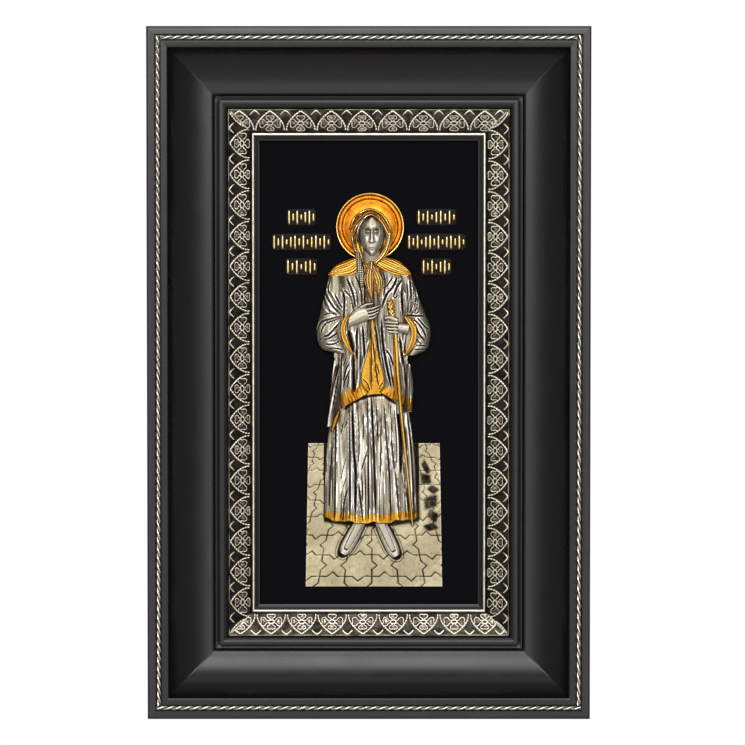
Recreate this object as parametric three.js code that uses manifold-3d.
// Framed icon panel: a lacquered cove frame with twisted silver wire, a stepped inner frame with
// embossed silver strips, a black ground panel, and a silver and gilt relief of a standing figure
// on a paved plate, with six small inscription plates beside its halo.
// Millimetres, +X to the viewer's right, +Z up, the front faces -Y, the wall is the plane y = 0.
// The origin is the middle of the top rail's back face, where the frame hangs.
import * as THREE from 'three';
import { mergeVertices } from 'three/addons/utils/BufferGeometryUtils.js';
import Module from 'manifold-3d';

// Outer frame
const FRAME_WIDTH = 178;
const FRAME_HEIGHT = 278;
const FRAME_DEPTH = 26;
const OUTER_ARRIS_RADIUS = 0.8;
const BAND_WIDTH = 8.6;
const COVE_WIDTH = 16.7;
const COVE_DEPTH = 12;
const NOSE_RADIUS = 1.1;
const NOSE_HEIGHT = 3;
const RABBET_WIDTH = 6.4;
const MITRE_GAP = 0.1;
const HANGING_INSET = 10;

// Twisted wire in the band
const WIRE_DIAMETER = 1.7;
const WIRE_INSET = 4.6;
const WIRE_PROUD = 0.5;
const WIRE_CLEARANCE = 0.25;
const WIRE_SIDES = 8;
const WIRE_END_GAP = 0.3;

// Inner frame
const LINER_DEPTH = 11;
const LINER_CLEARANCE = 0.3;
const SHADOW_GROOVE_WIDTH = 2.2;
const STEP_WIDTH = 1.7;
const STEP_RISE = 4.3;
const CHANNEL_WIDTH = 1.7;
const SEAT_DROP = 2.3;
const SEAT_SLOPE = 0.13;
const SIGHT_LIP_WIDTH = 1.6;
const SIGHT_LIP_HEIGHT = 2.4;
const PANEL_RABBET_WIDTH = 6.4;

// Embossed strips
const STRIP_WIDTH = 10.6;
const STRIP_THICKNESS = 0.7;
const STRIP_CLEARANCE = 0.2;
const BEAD_WIDTH = 1.6;
const BEAD_HEIGHT = 0.8;
const MOTIF_PITCH = 12.45;
const MOTIF_HEIGHT = 0.6;
const ARCH_RIDGE_WIDTH = 0.9;
const ARCH_STEPS = 4;
const TOP_PHASE = -1.6;
const BOTTOM_PHASE = 2.5;
const LEFT_PHASE = 6.1;
const RIGHT_PHASE = -5.7;

// Ground panel
const PANEL_THICKNESS = 5;
const SEAT_FILM = 0.1;

// Figure, plate and halo
const FIGURE_HEIGHT = 141;
const FIGURE_OFFSET = 0.7;
const SPARE_BELOW_SHARE = 0.26;
const PLATE_TOP_WIDTH = 54;
const PLATE_BOTTOM_WIDTH = 56.2;
const PLATE_HEIGHT = 58.5;
const PLATE_THICKNESS = 1.2;
const PLATE_OFFSET = 2.1;
const PLATE_BELOW_TOES = 13.5;
const HALO_RADIUS = 13.8;
const HALO_RIM_HEIGHT = 1.7;
const HALO_SEGMENTS = 24;
const HALO_OFFSET = -0.2;
const HALO_CENTRE_SHARE = 0.945;

// Inscription plates
const INSCRIPTION_THICKNESS = 0.8;
const STROKE_HEIGHT = 0.5;
const STROKE_WIDTH = 0.7;
const STROKE_PITCH = 1.9;
const LINE_HEIGHT = 7;
const LINE_PITCH = 10.1;
const FIRST_LINE_ABOVE_HALO = 4;
const LEFT_HALO_GAP = 2;
const RIGHT_HALO_GAP = 1;
const INSCRIPTION_MARGIN = 4.8;
const LEFT_LINE_SHARES = [0.5, 1, 0.54];
const RIGHT_LINE_SHARES = [0.68, 1, 0.52];

// Shortest edge kept after joining and cutting
const SMALLEST_EDGE = 0.02;

const lacquer = { color: 0x0b0b0c, roughness: 0.28, metalness: 0 };
const silver = { color: 0xc9c4b8, roughness: 0.35, metalness: 1 };
const oxidised = { color: 0x8d8a84, roughness: 0.45, metalness: 1 };
const velvet = { color: 0x050505, roughness: 1, metalness: 0 };
const gilt = { color: 0x8a6a32, roughness: 0.5, metalness: 1 };

const { Manifold, Mesh: SolidMesh } = await (async () => {
  const library = await Module();
  library.setup();
  return library;
})();

function toSolid(geometry) {
  const bare = geometry.index ? geometry.toNonIndexed() : geometry.clone();
  bare.deleteAttribute('normal');
  bare.deleteAttribute('uv');
  const merged = mergeVertices(bare, 1e-4);
  return new Manifold(new SolidMesh({
    numProp: 3,
    vertProperties: new Float32Array(merged.attributes.position.array),
    triVerts: new Uint32Array(merged.index.array),
  }));
}

function toGeometry(solid) {
  const mesh = solid.getMesh();
  const geometry = new THREE.BufferGeometry();
  geometry.setAttribute('position', new THREE.BufferAttribute(mesh.vertProperties, 3));
  geometry.setIndex(new THREE.BufferAttribute(mesh.triVerts, 1));
  return geometry;
}

// Joining and cutting can leave slivers on the piece, a speck beside it or a pinhole in it.
function mainBody(solid) {
  const bodies = solid.simplify(SMALLEST_EDGE).decompose();
  return bodies.reduce((largest, body) => (body.volume() > largest.volume() ? body : largest));
}

function joined(geometries) {
  return mainBody(geometries.map(toSolid).reduce((sum, solid) => sum.add(solid)));
}

function named(name, geometry, finish) {
  geometry.computeVertexNormals();
  const mesh = new THREE.Mesh(geometry, new THREE.MeshStandardMaterial(finish));
  mesh.name = name;
  return mesh;
}

// The four sides of a frame: turned about Y, with the outer edge of each side on the rectangle.
const SIDES = {
  top: { turn: 0, length: FRAME_WIDTH, reach: FRAME_HEIGHT / 2 },
  right: { turn: Math.PI / 2, length: FRAME_HEIGHT, reach: FRAME_WIDTH / 2 },
  bottom: { turn: Math.PI, length: FRAME_WIDTH, reach: FRAME_HEIGHT / 2 },
  left: { turn: -Math.PI / 2, length: FRAME_HEIGHT, reach: FRAME_WIDTH / 2 },
};

function placeOnSide(mesh, side) {
  const { turn, reach } = SIDES[side];
  mesh.rotation.y = turn;
  mesh.position.set(Math.sin(turn) * reach, 0, Math.cos(turn) * reach);
  return mesh;
}

// A profile is a shape of (height above the wall, distance in from the frame's outer edge).
// It runs the side's length, and each end is moved back to the mitre.
function mitredRail(profile, side) {
  const { length } = SIDES[side];
  const bar = new THREE.ExtrudeGeometry(profile, { depth: length, bevelEnabled: false, curveSegments: 8 });
  const position = bar.attributes.position;
  for (let i = 0; i < position.count; i += 1) {
    const height = position.getX(i);
    const inset = position.getY(i);
    const end = position.getZ(i) > length / 2 ? 1 : -1;
    position.setXYZ(i, end * (length / 2 - inset - MITRE_GAP / 2), -height, -inset);
  }
  return bar;
}

function shapeOf(points) {
  return new THREE.Shape(points.map(([height, inset]) => new THREE.Vector2(height, inset)));
}

// Sizes that follow from the ones above
const railWidth = BAND_WIDTH + COVE_WIDTH + NOSE_RADIUS;
const coveFloor = FRAME_DEPTH - COVE_DEPTH;
const rabbetHeight = coveFloor - NOSE_HEIGHT;
const rabbetInset = railWidth - RABBET_WIDTH;
const grooveHalf = WIRE_DIAMETER / 2 + WIRE_CLEARANCE;
const wireCentre = FRAME_DEPTH + WIRE_PROUD - WIRE_DIAMETER / 2;
const grooveFloor = wireCentre - grooveHalf;

const linerTop = rabbetHeight - LINER_CLEARANCE;
const linerBack = linerTop + STEP_RISE - LINER_DEPTH;
const stepInset = railWidth + SHADOW_GROOVE_WIDTH;
const stepHeight = linerTop + STEP_RISE;
const seatInset = stepInset + STEP_WIDTH;
const stripInset = seatInset + CHANNEL_WIDTH;
const seatHeight = (inset) => stepHeight - SEAT_DROP - SEAT_SLOPE * (inset - seatInset);
const lipInset = stripInset + STRIP_WIDTH + STRIP_CLEARANCE;
const sightInset = lipInset + SIGHT_LIP_WIDTH;
const lipHeight = seatHeight(lipInset) + STRIP_CLEARANCE;
const panelFront = lipHeight - SIGHT_LIP_HEIGHT;
const panelRabbetInset = sightInset - PANEL_RABBET_WIDTH;
const panelRabbetHeight = panelFront + LINER_CLEARANCE;
const panelWidth = FRAME_WIDTH - 2 * (panelRabbetInset + LINER_CLEARANCE);
const panelHeight = FRAME_HEIGHT - 2 * (panelRabbetInset + LINER_CLEARANCE);
const reliefBack = panelFront + SEAT_FILM;
const sightHalfWidth = FRAME_WIDTH / 2 - sightInset;
const sightHalfHeight = FRAME_HEIGHT / 2 - sightInset;

// The relief stands in the sight opening with most of the spare height above its halo.
const haloAboveToes = FIGURE_HEIGHT * HALO_CENTRE_SHARE;
const reliefHeight = PLATE_BELOW_TOES + haloAboveToes + HALO_RADIUS;
const spareBelow = (2 * sightHalfHeight - reliefHeight) * SPARE_BELOW_SHARE;
const toes = spareBelow - sightHalfHeight + PLATE_BELOW_TOES;
const haloCentre = FIGURE_OFFSET + HALO_OFFSET;

function frameProfile() {
  const profile = new THREE.Shape();
  const arris = OUTER_ARRIS_RADIUS;
  profile.moveTo(0, 0);
  profile.lineTo(FRAME_DEPTH - arris, 0);
  profile.absarc(FRAME_DEPTH - arris, arris, arris, -Math.PI / 2, 0, false);
  profile.lineTo(FRAME_DEPTH, WIRE_INSET - grooveHalf);
  profile.lineTo(grooveFloor, WIRE_INSET - grooveHalf);
  profile.lineTo(grooveFloor, WIRE_INSET + grooveHalf);
  profile.lineTo(FRAME_DEPTH, WIRE_INSET + grooveHalf);
  const coveEnd = BAND_WIDTH + COVE_WIDTH;
  profile.absellipse(FRAME_DEPTH, coveEnd, COVE_DEPTH, COVE_WIDTH, -Math.PI / 2, -Math.PI, true);
  profile.absarc(coveFloor - NOSE_RADIUS, coveEnd, NOSE_RADIUS, 0, Math.PI / 2, false);
  profile.lineTo(rabbetHeight, railWidth);
  profile.lineTo(rabbetHeight, rabbetInset);
  profile.lineTo(0, rabbetInset);
  return profile;
}

function linerProfile() {
  return shapeOf([
    [linerBack, rabbetInset + LINER_CLEARANCE],
    [linerTop, rabbetInset + LINER_CLEARANCE],
    [linerTop, stepInset],
    [stepHeight, stepInset],
    [stepHeight, seatInset],
    [seatHeight(seatInset), seatInset],
    [seatHeight(lipInset), lipInset],
    [lipHeight, lipInset],
    [lipHeight, sightInset - SIGHT_LIP_WIDTH / 3],
    [lipHeight - SIGHT_LIP_WIDTH / 3, sightInset],
    [panelRabbetHeight, sightInset],
    [panelRabbetHeight, panelRabbetInset],
    [linerBack, panelRabbetInset],
  ]);
}

// The strip lies flat while it is made: (along, height above its underside, in from its outer edge).
function stripBlank(length) {
  const bead = STRIP_WIDTH - BEAD_WIDTH / 2;
  const profile = new THREE.Shape();
  profile.moveTo(0, 0);
  profile.lineTo(STRIP_THICKNESS, 0);
  profile.lineTo(STRIP_THICKNESS, bead - BEAD_WIDTH / 2);
  const rise = [0.7, 1, 0.7];
  rise.forEach((share, step) => {
    profile.lineTo(STRIP_THICKNESS + share * BEAD_HEIGHT, bead + (step - 1) * BEAD_WIDTH * 0.35);
  });
  profile.lineTo(STRIP_THICKNESS, STRIP_WIDTH);
  profile.lineTo(0, STRIP_WIDTH);
  const blank = new THREE.ExtrudeGeometry(profile, { depth: length, bevelEnabled: false });
  const position = blank.attributes.position;
  for (let i = 0; i < position.count; i += 1) {
    position.setXYZ(i, position.getZ(i) - length / 2, -position.getX(i), -position.getY(i));
  }
  return blank;
}

// A closed form on a base polygon of (along, in) points, with rings of the same count above it.
function facetedBoss(rings, tip) {
  const count = rings[0].points.length;
  const vertices = [];
  rings.forEach(({ points, height }) => {
    points.forEach(([along, inward]) => vertices.push(along, -height, -inward));
  });
  const faces = [];
  for (let ring = 0; ring + 1 < rings.length; ring += 1) {
    for (let i = 0; i < count; i += 1) {
      const a = ring * count + i;
      const b = ring * count + ((i + 1) % count);
      faces.push(a, b, b + count, a, b + count, a + count);
    }
  }
  const last = (rings.length - 1) * count;
  const tipIndex = vertices.length / 3;
  vertices.push(tip.along, -tip.height, -tip.inward);
  for (let i = 0; i < count; i += 1) {
    faces.push(last + i, last + ((i + 1) % count), tipIndex);
  }
  const base = rings[0].points.map(([along, inward]) => new THREE.Vector2(along, -inward));
  THREE.ShapeUtils.triangulateShape(base, []).forEach(([a, b, c]) => faces.push(a, c, b));
  const geometry = new THREE.BufferGeometry();
  geometry.setAttribute('position', new THREE.Float32BufferAttribute(vertices, 3));
  geometry.setIndex(faces);
  return geometry;
}

// Pattern zone of the strip, between its outer edge and the bead
const motifSpan = STRIP_WIDTH - BEAD_WIDTH;
const sunk = STRIP_THICKNESS * 0.4;
const crest = STRIP_THICKNESS + MOTIF_HEIGHT;

// Half of a pointed arch, from its foot beside the bead to the point near the outer edge.
function archLine() {
  const foot = new THREE.Vector2(MOTIF_PITCH * 0.46, motifSpan * 0.985);
  const bend = new THREE.Vector2(MOTIF_PITCH * 0.475, motifSpan * 0.34);
  const point = new THREE.Vector2(0, motifSpan * 0.09);
  const half = new THREE.QuadraticBezierCurve(foot, bend, point).getPoints(ARCH_STEPS / 2);
  const other = half.slice(0, -1).reverse().map((p) => new THREE.Vector2(-p.x, p.y));
  return half.concat(other);
}

function archRidge(centre) {
  const line = archLine();
  const section = [];
  line.forEach((p, i) => {
    const before = line[Math.max(i - 1, 0)];
    const after = line[Math.min(i + 1, line.length - 1)];
    const run = after.clone().sub(before).normalize();
    const side = new THREE.Vector2(-run.y, run.x).multiplyScalar(ARCH_RIDGE_WIDTH / 2);
    section.push([p.clone().sub(side), p, p.clone().add(side)]);
  });
  const vertices = [];
  section.forEach(([inner, middle, outer]) => {
    vertices.push(centre + inner.x, -sunk, -inner.y);
    vertices.push(centre + middle.x, -crest, -middle.y);
    vertices.push(centre + outer.x, -sunk, -outer.y);
  });
  const faces = [];
  for (let i = 0; i + 1 < section.length; i += 1) {
    for (let k = 0; k < 3; k += 1) {
      const a = 3 * i + k;
      const b = 3 * i + ((k + 1) % 3);
      faces.push(a, b, b + 3, a, b + 3, a + 3);
    }
  }
  const end = 3 * (section.length - 1);
  faces.push(0, 2, 1, end, end + 1, end + 2);
  const geometry = new THREE.BufferGeometry();
  geometry.setAttribute('position', new THREE.Float32BufferAttribute(vertices, 3));
  geometry.setIndex(faces);
  return geometry;
}

function flowerBoss(centre) {
  const middle = motifSpan * 0.6;
  const lobe = (angle, share) => [
    centre + Math.cos(angle) * MOTIF_PITCH * 0.35 * share,
    middle - Math.sin(angle) * motifSpan * 0.36 * share,
  ];
  const ring = (waist, tip) => Array.from({ length: 8 }, (_, i) => {
    return lobe((i * Math.PI) / 4, i % 2 ? waist : tip);
  });
  return facetedBoss(
    [{ points: ring(0.62, 1), height: sunk }],
    { along: centre, height: crest + MOTIF_HEIGHT / 2, inward: middle },
  );
}

function chevronBoss(centre) {
  const half = MOTIF_PITCH * 0.16;
  const foot = motifSpan * 0.24;
  const points = [[centre, motifSpan * 0.03], [centre - half, foot], [centre + half, foot]];
  return facetedBoss(
    [{ points, height: sunk }],
    { along: centre, height: crest, inward: motifSpan * 0.14 },
  );
}

function borderStrip(side, phase) {
  const { length } = SIDES[side];
  const outer = length - 2 * stripInset - MITRE_GAP;
  let strip = toSolid(stripBlank(outer + MOTIF_PITCH));
  const reach = Math.ceil(outer / 2 / MOTIF_PITCH) + 1;
  for (let index = -reach; index <= reach; index += 1) {
    const centre = index * MOTIF_PITCH + phase;
    const bosses = [archRidge(centre), flowerBoss(centre), chevronBoss(centre + MOTIF_PITCH / 2)];
    if (Math.abs(centre) < outer / 2 + MOTIF_PITCH) {
      strip = bosses.reduce((sum, boss) => sum.add(toSolid(boss)), strip);
    }
  }
  const mitre = new THREE.Shape([
    new THREE.Vector2(-outer / 2, 0),
    new THREE.Vector2(outer / 2, 0),
    new THREE.Vector2(outer / 2 - STRIP_WIDTH, STRIP_WIDTH),
    new THREE.Vector2(-outer / 2 + STRIP_WIDTH, STRIP_WIDTH),
  ]);
  const wide = crest + BEAD_HEIGHT + 1;
  const knife = new THREE.ExtrudeGeometry(mitre, { depth: 2 * wide, bevelEnabled: false });
  knife.translate(0, 0, -wide);
  knife.rotateX(-Math.PI / 2);
  const geometry = toGeometry(mainBody(strip.intersect(toSolid(knife))));
  const position = geometry.attributes.position;
  for (let i = 0; i < position.count; i += 1) {
    const inset = stripInset - position.getZ(i);
    const underside = seatHeight(inset) + STRIP_CLEARANCE / 2;
    position.setXYZ(i, position.getX(i), position.getY(i) - underside, -inset);
  }
  return geometry;
}

// Upright wires run full length at the top and stop on the bottom wire.
function twistedWire(side) {
  const { length } = SIDES[side];
  const outside = length / 2 - WIRE_INSET + WIRE_DIAMETER / 2;
  const inside = length / 2 - WIRE_INSET - WIRE_DIAMETER / 2 - WIRE_END_GAP;
  const starts = { top: [-inside, inside], right: [-outside, inside], bottom: [-outside, outside] };
  const [from, to] = starts[side] || [-inside, outside];
  const wire = new THREE.CylinderGeometry(WIRE_DIAMETER / 2, WIRE_DIAMETER / 2, to - from, WIRE_SIDES);
  wire.rotateZ(Math.PI / 2);
  wire.translate((from + to) / 2, -wireCentre, -WIRE_INSET);
  return wire;
}

// Relief forms. A patch lies between a left and a right side line, each from top to bottom, in
// hundredths of the figure's height. Its height over the ground is the edge, plus a crown across
// it, plus sharp pleats on every other column, plus a form of its own.
const share = FIGURE_HEIGHT / 100;

function sideLine(points) {
  return new THREE.SplineCurve(points.map(([x, z]) => new THREE.Vector2(x, z)));
}

function reliefPatch({ left, right, edge, crown, columns, rows, pleat = 0, form = () => 0 }) {
  const leftLine = sideLine(left);
  const rightLine = sideLine(right);
  const vertices = [];
  const layer = (heightAt) => {
    for (let row = 0; row <= rows; row += 1) {
      const v = row / rows;
      const from = leftLine.getPoint(v);
      const to = rightLine.getPoint(v);
      for (let column = 0; column <= columns; column += 1) {
        const u = (2 * column) / columns - 1;
        const spot = from.clone().lerp(to, (u + 1) / 2);
        vertices.push(spot.x * share, -heightAt(u, v, column) * share, spot.y * share);
      }
    }
  };
  layer((u, v, column) => {
    const swell = crown * (1 - Math.abs(u) ** 2.4);
    const fold = Math.abs(u) < 1 ? pleat * (column % 2 ? 0.5 : -0.5) : 0;
    return edge + swell + fold + form(u, v);
  });
  layer(() => 0);
  const wide = columns + 1;
  const back = wide * (rows + 1);
  const faces = [];
  for (let row = 0; row < rows; row += 1) {
    for (let column = 0; column < columns; column += 1) {
      const a = row * wide + column;
      const d = a + wide;
      faces.push(a, d, d + 1, a, d + 1, a + 1);
      faces.push(back + a, back + d + 1, back + d, back + a, back + a + 1, back + d + 1);
    }
  }
  const rim = [];
  for (let row = 0; row < rows; row += 1) rim.push(row * wide);
  for (let column = 0; column < columns; column += 1) rim.push(rows * wide + column);
  for (let row = rows; row > 0; row -= 1) rim.push(row * wide + columns);
  for (let column = columns; column > 0; column -= 1) rim.push(column);
  rim.forEach((p, i) => {
    const q = rim[(i + 1) % rim.length];
    faces.push(p, back + p, back + q, p, back + q, q);
  });
  const geometry = new THREE.BufferGeometry();
  geometry.setAttribute('position', new THREE.Float32BufferAttribute(vertices, 3));
  geometry.setIndex(faces);
  return geometry;
}

// A long form that follows a line, such as a finger, a staff, a braid or a shoe.
function reliefBar({ line, widths, edge, crown, rows, columns = 2, pleat = 0 }) {
  const left = [];
  const right = [];
  line.forEach(([x, z], i) => {
    const [x0, z0] = line[Math.max(i - 1, 0)];
    const [x1, z1] = line[Math.min(i + 1, line.length - 1)];
    const length = Math.hypot(x1 - x0, z1 - z0);
    const across = [((z1 - z0) / length) * widths[i], (-(x1 - x0) / length) * widths[i]];
    left.push([x + across[0], z + across[1]]);
    right.push([x - across[0], z - across[1]]);
  });
  return reliefPatch({ left, right, edge, crown, columns, rows, pleat });
}

// The oval of the face, with a brow, nose, eye hollows, lips and chin set out by thirds.
function facePatch() {
  const bump = (value, centre, spread) => Math.exp(-(((value - centre) / spread) ** 2));
  return reliefPatch({
    left: [[0, 97], [-2.9, 95], [-3.7, 91.6], [-2.6, 88], [0.2, 86]],
    right: [[0.7, 97], [3.6, 95], [4.4, 91.6], [3.3, 88], [0.6, 86]],
    edge: 2.4,
    crown: 1.3,
    columns: 8,
    rows: 8,
    form: (u, v) => {
      const nose = 0.6 * bump(u, 0, 0.16) * bump(v, 0.56, 0.14);
      const eyes = -0.35 * bump(Math.abs(u), 0.45, 0.2) * bump(v, 0.46, 0.07);
      const mouth = 0.2 * bump(u, 0, 0.3) * bump(v, 0.8, 0.06);
      return nose + eyes + mouth;
    },
  });
}

function headForms() {
  const hood = {
    left: [[-0.3, 99.7], [-3.6, 98.2], [-5.8, 93.6], [-5.2, 89], [-3.4, 85.4], [-2, 81.6]],
    right: [[0.5, 99.7], [3.8, 98.2], [6, 93.6], [5.2, 89], [3.4, 85.4], [2.4, 81.6]],
  };
  return [
    reliefPatch({ ...hood, edge: 1.9, crown: 0.5, columns: 4, rows: 7 }),
    reliefPatch({
      left: [[0, 98.6], [-3, 96.9], [-4.6, 92.5], [-4, 88.5], [-1.2, 84.6]],
      right: [[0.6, 98.6], [3.6, 96.9], [5.1, 92.5], [4.4, 88.5], [1.8, 84.6]],
      edge: 2.1, crown: 0.7, columns: 4, rows: 6,
    }),
    facePatch(),
    kerchiefBand([[-5.9, 94], [-4.2, 97.4], [0.2, 99.5], [4.6, 97.2], [6.1, 93.6]], 0.6, 2.6),
    kerchiefBand([[-5.3, 93.2], [-3.6, 95.9], [0, 98.4], [3.6, 96], [5.6, 93]], 0.5, 2.9),
    kerchiefBand([[5.6, 93.2], [5.3, 90], [3.9, 86.6], [1.4, 84]], 0.9, 2.7),
    kerchiefBand([[-5.5, 92.6], [-5, 89.4], [-3.9, 86.6], [-2.4, 84.2]], 0.7, 2.6),
  ];
}

function kerchiefBand(line, width, edge) {
  return reliefBar({ line, widths: line.map(() => width), edge, crown: 0.5, rows: 5 });
}

function capeForms() {
  return [
    reliefPatch({
      left: [[-4.5, 85.6], [-8, 84.5], [-12.3, 80.5]],
      right: [[-1.5, 83.4], [-5, 80.9], [-11.8, 80.4]],
      edge: 2.2, crown: 0.7, columns: 4, rows: 4, pleat: 0.3,
    }),
    reliefPatch({
      left: [[1.2, 83.4], [5, 80.9], [11.2, 80.6]],
      right: [[4.2, 85.6], [8, 84.4], [11.9, 80.9]],
      edge: 2.2, crown: 0.7, columns: 4, rows: 4, pleat: 0.3,
    }),
    reliefBar({
      line: [[0, 83.6], [-0.5, 79], [0.4, 73.1]], widths: [0.7, 1.3, 0.15],
      edge: 3.1, crown: 0.5, rows: 3, columns: 4, pleat: 0.3,
    }),
    reliefBar({
      line: [[0.2, 83.6], [2.1, 79], [2.3, 74.6]], widths: [0.6, 1.2, 0.3],
      edge: 3, crown: 0.5, rows: 3, columns: 4, pleat: 0.3,
    }),
    reliefBar({ line: [[0.3, 84.4], [0.1, 82.4]], widths: [0.7, 1], edge: 3.2, crown: 0.6, rows: 2 }),
    reliefBar({
      line: [[-3.4, 86.2], [-2.9, 82.4], [-2.4, 78.3]], widths: [0.5, 0.75, 0.2],
      edge: 3, crown: 0.4, rows: 3,
    }),
  ];
}

function robeForms() {
  return [
    reliefPatch({
      left: [[-10.6, 57.7], [-11.8, 46], [-12.8, 36.4]],
      right: [[10.6, 57.7], [12, 49], [12.1, 41]],
      edge: 1.1, crown: 1.1, columns: 8, rows: 2, pleat: 0.4,
    }),
    reliefPatch({
      left: [[-9.5, 57.7], [-10.8, 44], [-12.9, 30], [-13.6, 9.8]],
      right: [[9.5, 57.7], [11, 44], [12.8, 30], [13.9, 9.2]],
      edge: 1.2, crown: 1.5, columns: 20, rows: 3, pleat: 0.7,
    }),
    reliefPatch({
      left: [[-0.4, 68], [-2.7, 51], [-1.6, 46.6]],
      right: [[0.9, 68], [4.3, 50], [3.4, 46.8]],
      edge: 2.5, crown: 0.1, columns: 4, rows: 3, pleat: 0.25,
    }),
  ];
}

function coatForms() {
  return [
    reliefPatch({
      left: [[-11.8, 80.6], [-11, 68], [-10.8, 56.6]],
      right: [[11.6, 81], [12.4, 66], [10.8, 55.6]],
      edge: 1.5, crown: 0.6, columns: 6, rows: 2,
    }),
    reliefPatch({
      left: [[-11.6, 81], [-10.6, 70], [-9.2, 56], [-9.5, 47], [-9.2, 41]],
      right: [[0, 82.6], [0.6, 74], [0.3, 66.4], [-2.4, 51], [-0.9, 46.2]],
      edge: 2.3, crown: 0.8, columns: 6, rows: 5, pleat: 0.45,
    }),
    reliefPatch({
      left: [[0.2, 83.4], [0.7, 74], [0.4, 66.4], [4, 50], [3, 46.8]],
      right: [[11.2, 81], [10.8, 70], [10, 56], [10.2, 47], [9.6, 43]],
      edge: 2.3, crown: 0.8, columns: 6, rows: 5, pleat: 0.45,
    }),
    reliefBar({
      line: [[11, 55], [11.3, 48], [11.1, 41.2]], widths: [0.7, 1.1, 1],
      edge: 1.8, crown: 0.4, rows: 3, columns: 4, pleat: 0.3,
    }),
  ];
}

function sleeveForms() {
  return [
    reliefPatch({
      left: [[-12.2, 80.6], [-13.9, 73.1], [-15.7, 64], [-14.2, 59.2], [-9.6, 57.9]],
      right: [[-8, 80.8], [-7, 75], [-6.9, 69.2], [-8.9, 65], [-6, 58]],
      edge: 1.8, crown: 1.5, columns: 6, rows: 6, pleat: 0.4,
    }),
    reliefPatch({
      left: [[7.8, 80.8], [8.6, 75], [10.4, 68.6], [12.8, 64.4], [10.2, 57.2]],
      right: [[11.9, 80.4], [14.5, 73.1], [17.4, 65.3], [16.6, 59.4], [13.4, 57.4]],
      edge: 1.8, crown: 1.5, columns: 6, rows: 6, pleat: 0.4,
    }),
    reliefPatch({
      left: [[-7, 69.3], [-8.7, 65.6], [-8, 61.4], [-5.3, 57.4]],
      right: [[-5.8, 69.2], [-7.1, 65.4], [-6.5, 62], [-4.8, 57.4]],
      edge: 3.2, crown: 0.5, columns: 2, rows: 5,
    }),
    reliefPatch({
      left: [[9.5, 68.5], [11.4, 65], [11.3, 61.6], [9.6, 57.2]],
      right: [[11, 68.5], [13.3, 65], [13, 61], [10.2, 57.1]],
      edge: 3.2, crown: 0.5, columns: 2, rows: 5,
    }),
  ];
}

function handForms() {
  const forms = [
    reliefPatch({
      left: [[-6.6, 65.2], [-3, 66.4], [0, 67.6]],
      right: [[-6, 69.3], [-3.8, 71.2], [-1.6, 71.6]],
      edge: 3.3, crown: 0.6, columns: 4, rows: 4,
    }),
    reliefBar({ line: [[-3, 71], [-1.2, 72], [0.9, 72.3]], widths: [0.6, 0.5, 0.3], edge: 3.5, crown: 0.4, rows: 3 }),
    reliefBar({ line: [[8, 66.2], [11.6, 65.4]], widths: [1.7, 2], edge: 3, crown: 0.7, columns: 4, rows: 2 }),
    reliefBar({ line: [[4.1, 68.2], [6, 68.4], [8.2, 67]], widths: [0.5, 0.7, 0.8], edge: 3.7, crown: 0.5, rows: 3 }),
  ];
  const fingers = 4;
  for (let finger = 0; finger < fingers; finger += 1) {
    const drop = finger * 0.92;
    forms.push(reliefBar({
      line: [[-1.8, 70.9 - drop], [0.6, 71.2 - drop], [3.1 - 0.25 * finger, 71.9 - drop]],
      widths: [0.5, 0.5, 0.25], edge: 3.4, crown: 0.5, rows: 2,
    }));
    const knuckle = 67.2 - finger * 0.96;
    forms.push(reliefBar({
      line: [[3.7 + 0.35 * finger, knuckle], [5.5, knuckle - 0.1], [8.2, knuckle - 0.2]],
      widths: [0.35, 0.52, 0.5], edge: 3.5, crown: 0.5, rows: 2,
    }));
  }
  return forms;
}

function staffForms() {
  const foot = [12.3, 7.6];
  const grip = [6.1, 68];
  return [
    reliefBar({ line: [grip, foot], widths: [0.72, 0.4], edge: 3.1, crown: 0.4, columns: 4, rows: 1 }),
    reliefBar({ line: [[5.4, 73.4], [5.5, 71.6], [5.9, 69.6], [6.2, 67.2]], widths: [0.6, 1.15, 0.9, 0.9],
      edge: 3.2, crown: 0.6, columns: 4, rows: 4 }),
  ];
}

function shoeForms() {
  const left = [[-2.8, 9.4], [-4.7, 5.6], [-6.4, 2.2], [-7.5, 0]];
  const right = [[2.7, 9.4], [4.4, 5.6], [6, 2.2], [7.1, 0]];
  return [left, right].map((line) => {
    return reliefBar({ line, widths: [1.3, 1.6, 1.5, 0.6], edge: 1.6, crown: 0.8, columns: 4, rows: 5 });
  });
}

function plateForm() {
  const bottom = -PLATE_BELOW_TOES / share;
  const top = (PLATE_HEIGHT - PLATE_BELOW_TOES) / share;
  const middle = PLATE_OFFSET / share;
  const corner = (width, sign) => middle + (sign * width) / 2 / share;
  return reliefPatch({
    left: [[corner(PLATE_TOP_WIDTH, -1), top], [corner(PLATE_BOTTOM_WIDTH, -1), bottom]],
    right: [[corner(PLATE_TOP_WIDTH, 1), top], [corner(PLATE_BOTTOM_WIDTH, 1), bottom]],
    edge: PLATE_THICKNESS / share, crown: 0, columns: 1, rows: 1,
  });
}

function haloForm() {
  const rim = HALO_RADIUS;
  const profile = [
    [0, 0], [rim, 0], [rim, 0.6], [rim * 0.96, 1], [rim * 0.86, 0.6], [rim * 0.6, 0.4], [0, 0.4],
  ].map(([radius, rise]) => new THREE.Vector2(radius, rise * HALO_RIM_HEIGHT));
  const dish = new THREE.LatheGeometry(profile, HALO_SEGMENTS);
  dish.rotateX(Math.PI);
  dish.translate(HALO_OFFSET, 0, haloAboveToes);
  return dish;
}

function figureRelief() {
  const forms = [
    plateForm(), haloForm(), ...shoeForms(), ...robeForms(), ...coatForms(), ...sleeveForms(),
    ...capeForms(), ...headForms(), ...handForms(), ...staffForms(),
  ];
  return toGeometry(joined(forms));
}

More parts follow.
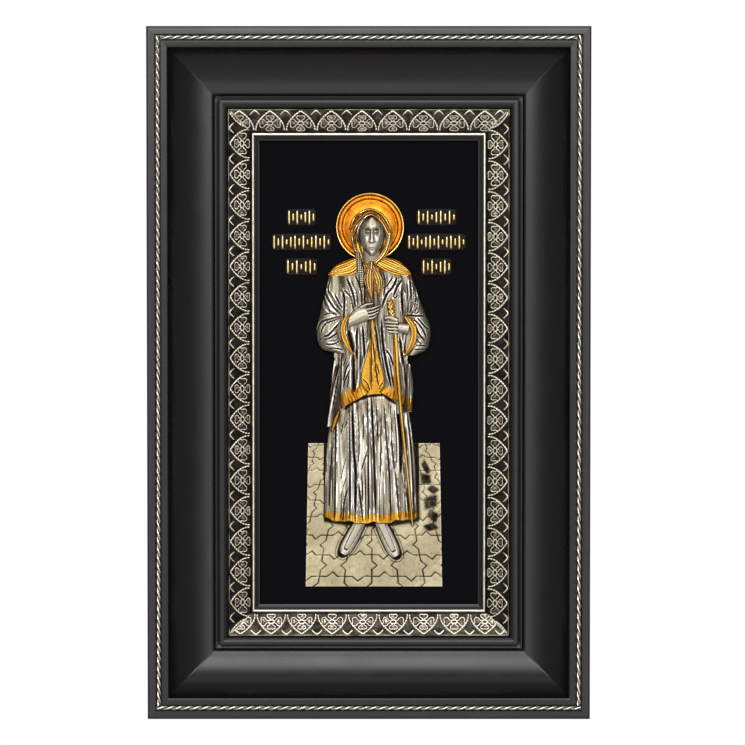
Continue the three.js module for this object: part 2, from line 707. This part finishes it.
// A plate with one line of upright bars and short dashes in a fixed rhythm.
function inscription(width) {
  const plate = new THREE.BoxGeometry(width, INSCRIPTION_THICKNESS, LINE_HEIGHT);
  plate.translate(0, -INSCRIPTION_THICKNESS / 2, 0);
  const strokes = Math.floor((width - STROKE_WIDTH) / STROKE_PITCH);
  const start = -((strokes - 1) * STROKE_PITCH) / 2;
  const rhythm = [0.74, 0.46, 0.74, 0.3, 0.6];
  const forms = [plate];
  for (let index = 0; index < strokes; index += 1) {
    const tall = LINE_HEIGHT * rhythm[index % rhythm.length];
    const deep = INSCRIPTION_THICKNESS / 2 + STROKE_HEIGHT;
    const bar = new THREE.BoxGeometry(STROKE_WIDTH, deep, tall);
    bar.translate(start + index * STROKE_PITCH, -INSCRIPTION_THICKNESS / 2 - deep / 2, 0);
    forms.push(bar);
  }
  return toGeometry(joined(forms));
}

const panel = new THREE.Group();
panel.position.z = HANGING_INSET - FRAME_HEIGHT / 2;

const phases = { top: TOP_PHASE, bottom: BOTTOM_PHASE, left: LEFT_PHASE, right: RIGHT_PHASE };
Object.keys(SIDES).forEach((side) => {
  panel.add(placeOnSide(named(`frame_rail_${side}`, mitredRail(frameProfile(), side), lacquer), side));
  panel.add(placeOnSide(named(`liner_rail_${side}`, mitredRail(linerProfile(), side), lacquer), side));
  panel.add(placeOnSide(named(`border_strip_${side}`, borderStrip(side, phases[side]), oxidised), side));
  panel.add(placeOnSide(named(`twisted_wire_${side}`, twistedWire(side), silver), side));
});

const board = named(
  'ground_panel', new THREE.BoxGeometry(panelWidth, PANEL_THICKNESS, panelHeight), velvet,
);
board.position.y = -panelFront + PANEL_THICKNESS / 2;
panel.add(board);

const relief = named('figure_relief', figureRelief(), silver);
relief.position.set(FIGURE_OFFSET, -reliefBack, toes);
panel.add(relief);

// Each column of inscription plates fills the room between the halo and the sight edge.
const leftInner = HALO_RADIUS + LEFT_HALO_GAP - haloCentre;
const rightInner = HALO_RADIUS + RIGHT_HALO_GAP + haloCentre;
const columns = [
  { side: 'left', shares: LEFT_LINE_SHARES, inner: leftInner, towards: -1 },
  { side: 'right', shares: RIGHT_LINE_SHARES, inner: rightInner, towards: 1 },
];
columns.forEach(({ side, shares, inner, towards }) => {
  const longest = sightHalfWidth - INSCRIPTION_MARGIN - inner;
  shares.forEach((lineShare, line) => {
    const plate = named(`inscription_${side}_${line + 1}`, inscription(longest * lineShare), gilt);
    const above = toes + haloAboveToes + FIRST_LINE_ABOVE_HALO - line * LINE_PITCH;
    plate.position.set(towards * (inner + longest / 2), -reliefBack, above);
    panel.add(plate);
  });
});

export default panel;
